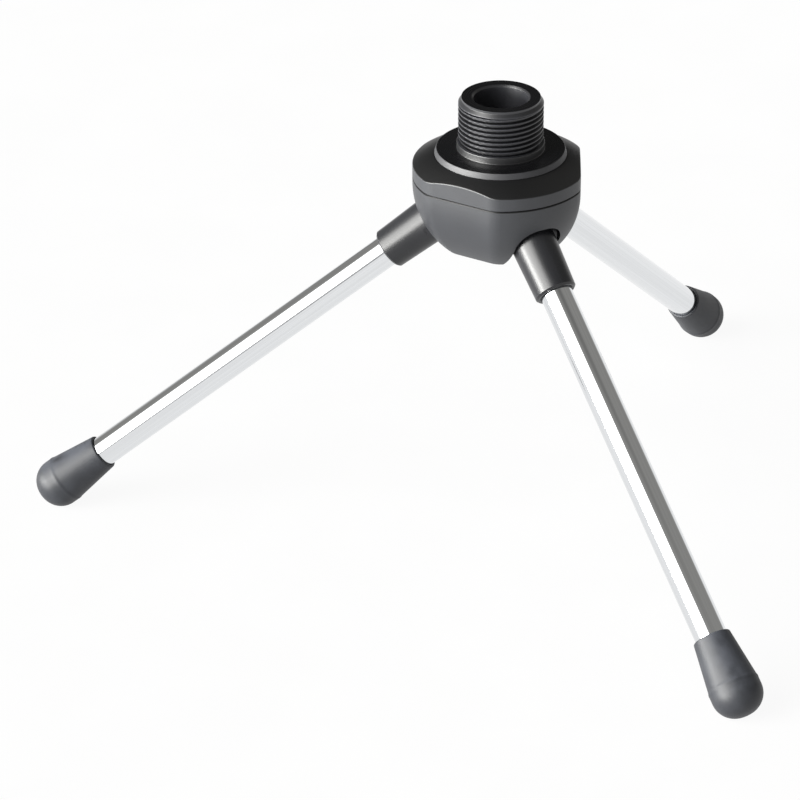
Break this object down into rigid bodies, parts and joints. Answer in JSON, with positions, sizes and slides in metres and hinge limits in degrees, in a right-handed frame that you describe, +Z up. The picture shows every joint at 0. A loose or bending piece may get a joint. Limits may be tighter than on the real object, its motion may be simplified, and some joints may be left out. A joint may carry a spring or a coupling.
{
  "type": "desktop microphone stand",
  "caption": "Low folding desktop tripod with a domed hub, a standard threaded microphone stud on top and chromed legs with rubber feet.",
  "frame": {"origin": "on the surface that the feet stand on, below the hub's axis", "axes": "+Z up along the stud; leg 1 points along -Y and the other two legs follow every 120 degrees; the legs are open"},
  "size_m": [0.1574, 0.1376, 0.0873],
  "materials": {
    "black_metal": "satin black",
    "black_stud": "turned, black satin",
    "black_chrome": "gloss black",
    "chrome_tube": "bright chrome",
    "foot_rubber": "smooth moulded",
    "zinc_steel": "zinc plated",
    "nylon": "natural nylon"
  },
  "bodies": {
    "hub": {"hub_body": "black_metal", "hub_cap": "black_metal", "threaded_stud": "black_stud", "clamp_screw": "zinc_steel", "spring_washer": "zinc_steel", "pivot_pin_1": "zinc_steel", "friction_washers_1": "nylon", "pivot_pin_2": "zinc_steel", "friction_washers_2": "nylon", "pivot_pin_3": "zinc_steel", "friction_washers_3": "nylon"},
    "leg_1": {"leg_sleeve_1": "black_chrome", "leg_tube_1": "chrome_tube", "foot_1": "foot_rubber"},
    "leg_2": {"leg_sleeve_2": "black_chrome", "leg_tube_2": "chrome_tube", "foot_2": "foot_rubber"},
    "leg_3": {"leg_sleeve_3": "black_chrome", "leg_tube_3": "chrome_tube", "foot_3": "foot_rubber"}
  },
  "joints": [
    {"name": "leg_1_fold", "type": "hinge", "parent": "hub", "child": "leg_1", "pos_m": [0, -0.0105, 0.06396], "axis": [1, 0, 0], "range_deg": [0, 51.6]},
    {"name": "leg_2_fold", "type": "hinge", "parent": "hub", "child": "leg_2", "pos_m": [0.00909, 0.00525, 0.06396], "axis": [-0.5, 0.866, 0], "range_deg": [0, 51.6]},
    {"name": "leg_3_fold", "type": "hinge", "parent": "hub", "child": "leg_3", "pos_m": [-0.00909, 0.00525, 0.06396], "axis": [-0.5, -0.866, 0], "range_deg": [0, 51.6]}
  ]
}
